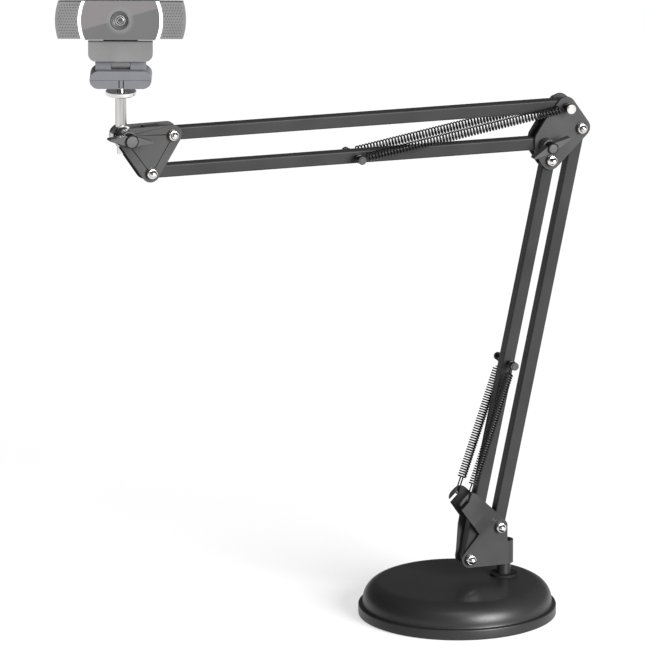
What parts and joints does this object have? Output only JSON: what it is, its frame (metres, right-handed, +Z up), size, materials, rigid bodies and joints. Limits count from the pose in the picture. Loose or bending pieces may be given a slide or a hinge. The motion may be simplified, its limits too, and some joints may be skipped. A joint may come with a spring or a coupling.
{
  "type": "webcam on spring-balanced desk arm",
  "caption": "Webcam on a spring-balanced two-section parallelogram arm with a round weighted base, a tilting post and wing knobs.",
  "frame": {"origin": "centre of the base's underside", "axes": "+Z up; the arm lies in the XZ plane and reaches towards -X, and every arm pivot turns about +Y"},
  "size_m": [0.4437, 0.157, 0.5264],
  "materials": {
    "black_shell": "satin",
    "cast_iron": "rough",
    "zinc_steel": "brushed",
    "black_rubber": "matte",
    "black_steel": "powder coated, matte",
    "bright_steel": "polished",
    "bar_paint": "satin",
    "spring_steel": "blackened",
    "knob_plastic": "moulded",
    "chrome": "polished",
    "clip_plastic": "moulded",
    "brass": "turned",
    "soft_rubber": "matte",
    "camera_plastic": "fine texture",
    "camera_gloss": "gloss",
    "white_plastic": "gloss",
    "lens_black": "satin",
    "lens_glass": "clear",
    "sensor": "gloss",
    "board": "solder mask"
  },
  "bodies": {
    "base": {"base_shell": "black_shell", "base_weight": "cast_iron", "base_plate": "zinc_steel", "base_pad": "black_rubber", "base_screws": "zinc_steel", "post_socket": "cast_iron", "post_collar": "black_rubber"},
    "mast": {"mast_post": "black_steel", "base_bracket": "black_steel", "base_bolts": "black_steel", "base_nuts": "bright_steel"},
    "lower_bar_a": {"lower_bar_left": "bar_paint", "lower_left_bushes": "zinc_steel", "lower_spring_post": "zinc_steel", "lower_post_caps": "bright_steel"},
    "lower_bar_b": {"lower_bar_right": "bar_paint", "lower_right_bushes": "zinc_steel"},
    "lower_springs": {"lower_spring_front": "spring_steel", "lower_spring_rear": "spring_steel"},
    "elbow": {"elbow_bracket": "black_steel", "elbow_bolts": "black_steel", "elbow_nuts": "bright_steel", "elbow_pin": "zinc_steel", "elbow_pin_caps": "bright_steel", "elbow_screw": "zinc_steel"},
    "elbow_knob": {"elbow_knob": "knob_plastic"},
    "upper_bar_a": {"upper_bar_bottom": "bar_paint", "upper_bottom_bushes": "zinc_steel", "upper_spring_post": "zinc_steel", "upper_post_caps": "bright_steel"},
    "upper_bar_b": {"upper_bar_top": "bar_paint", "upper_top_bushes": "zinc_steel"},
    "upper_springs": {"upper_spring_front": "spring_steel", "upper_spring_rear": "spring_steel"},
    "head": {"head_bracket": "black_steel", "head_bolts": "black_steel", "head_nuts": "bright_steel", "head_screw": "zinc_steel", "tilt_washers": "black_rubber"},
    "head_knob": {"head_knob": "knob_plastic"},
    "post": {"head_post": "chrome"},
    "disc": {"lock_disc": "chrome"},
    "foot": {"foot_lower": "clip_plastic", "foot_upper": "clip_plastic", "thread_insert": "brass", "clip_hinge_pin": "zinc_steel"},
    "clip": {"clip_plate": "clip_plastic", "clip_pad": "soft_rubber"},
    "camera": {"camera_hinge_pin": "zinc_steel", "camera_front_shell": "camera_plastic", "camera_rear_shell": "camera_plastic", "face_panel": "camera_gloss", "accent_strips": "white_plastic", "mic_grilles": "camera_plastic", "lens_ring": "lens_black", "lens_barrel": "lens_black", "lens_glass": "lens_glass", "image_sensor": "sensor", "main_board": "board", "cable_gland": "black_rubber"}
  },
  "joints": [
    {"name": "base_swivel", "type": "hinge", "parent": "base", "child": "mast", "pos_m": [0.04, 0, 0.02], "axis": [0, 0, 1], "continuous": true},
    {"name": "lower_swing", "type": "hinge", "parent": "mast", "child": "lower_bar_a", "pos_m": [0.008, 0, 0.0455], "axis": [0, 1, 0], "range_deg": [-55, 12]},
    {"name": "lower_follow", "type": "hinge", "parent": "mast", "child": "lower_bar_b", "pos_m": [0.0335, 0, 0.0695], "axis": [0, 1, 0], "range_deg": [-55, 12]},
    {"name": "lower_spring_swing", "type": "hinge", "parent": "mast", "child": "lower_springs", "pos_m": [0.00407, 0, 0.09549], "axis": [0, 1, 0], "range_deg": [-76, 17], "deforming": ["lower_spring_front", "lower_spring_rear"]},
    {"name": "elbow_level", "type": "hinge", "parent": "lower_bar_a", "child": "elbow", "pos_m": [0.07599, 0, 0.36535], "axis": [0, 1, 0], "range_deg": [-12, 55]},
    {"name": "elbow_knob_turn", "type": "hinge", "parent": "elbow", "child": "elbow_knob", "pos_m": [0.07079, 0, 0.37885], "axis": [0, 1, 0], "continuous": true},
    {"name": "upper_swing", "type": "hinge", "parent": "elbow", "child": "upper_bar_a", "pos_m": [0.07079, 0, 0.37885], "axis": [0, 1, 0], "range_deg": [-25, 60]},
    {"name": "upper_follow", "type": "hinge", "parent": "elbow", "child": "upper_bar_b", "pos_m": [0.08879, 0, 0.40775], "axis": [0, 1, 0], "range_deg": [-25, 60]},
    {"name": "upper_spring_swing", "type": "hinge", "parent": "elbow", "child": "upper_springs", "pos_m": [0.08879, 0, 0.40775], "axis": [0, 1, 0], "range_deg": [-23, 54], "deforming": ["upper_spring_front", "upper_spring_rear"]},
    {"name": "head_level", "type": "hinge", "parent": "upper_bar_a", "child": "head", "pos_m": [-0.26161, 0, 0.38698], "axis": [0, 1, 0], "range_deg": [-60, 25]},
    {"name": "head_knob_turn", "type": "hinge", "parent": "head", "child": "head_knob", "pos_m": [-0.28361, 0, 0.41768], "axis": [0, 1, 0], "continuous": true},
    {"name": "head_tilt", "type": "hinge", "parent": "head", "child": "post", "pos_m": [-0.28361, 0, 0.41768], "axis": [0, 1, 0], "range_deg": [-70, 35]},
    {"name": "disc_turn", "type": "hinge", "parent": "post", "child": "disc", "pos_m": [-0.28361, 0, 0.44968], "axis": [0, 0, 1], "continuous": true},
    {"name": "webcam_pan", "type": "hinge", "parent": "post", "child": "foot", "pos_m": [-0.28361, 0, 0.45668], "axis": [0, 0, 1], "continuous": true},
    {"name": "clip_fold", "type": "hinge", "parent": "foot", "child": "clip", "pos_m": [-0.28361, 0, 0.47518], "axis": [0.9231, -0.3846, 0], "range_deg": [-60, 25]},
    {"name": "camera_tilt", "type": "hinge", "parent": "clip", "child": "camera", "pos_m": [-0.28323, 0.00092, 0.49248], "axis": [0.9231, -0.3846, 0], "range_deg": [-20, 8]}
  ],
  "couplings": [
    {"joint": "lower_follow", "follows": "lower_swing", "ratio": 1},
    {"joint": "lower_spring_swing", "follows": "lower_swing", "ratio": 1.38},
    {"joint": "elbow_level", "follows": "lower_swing", "ratio": -1},
    {"joint": "upper_follow", "follows": "upper_swing", "ratio": 1},
    {"joint": "upper_spring_swing", "follows": "upper_swing", "ratio": 0.88},
    {"joint": "head_level", "follows": "upper_swing", "ratio": -1}
  ]
}
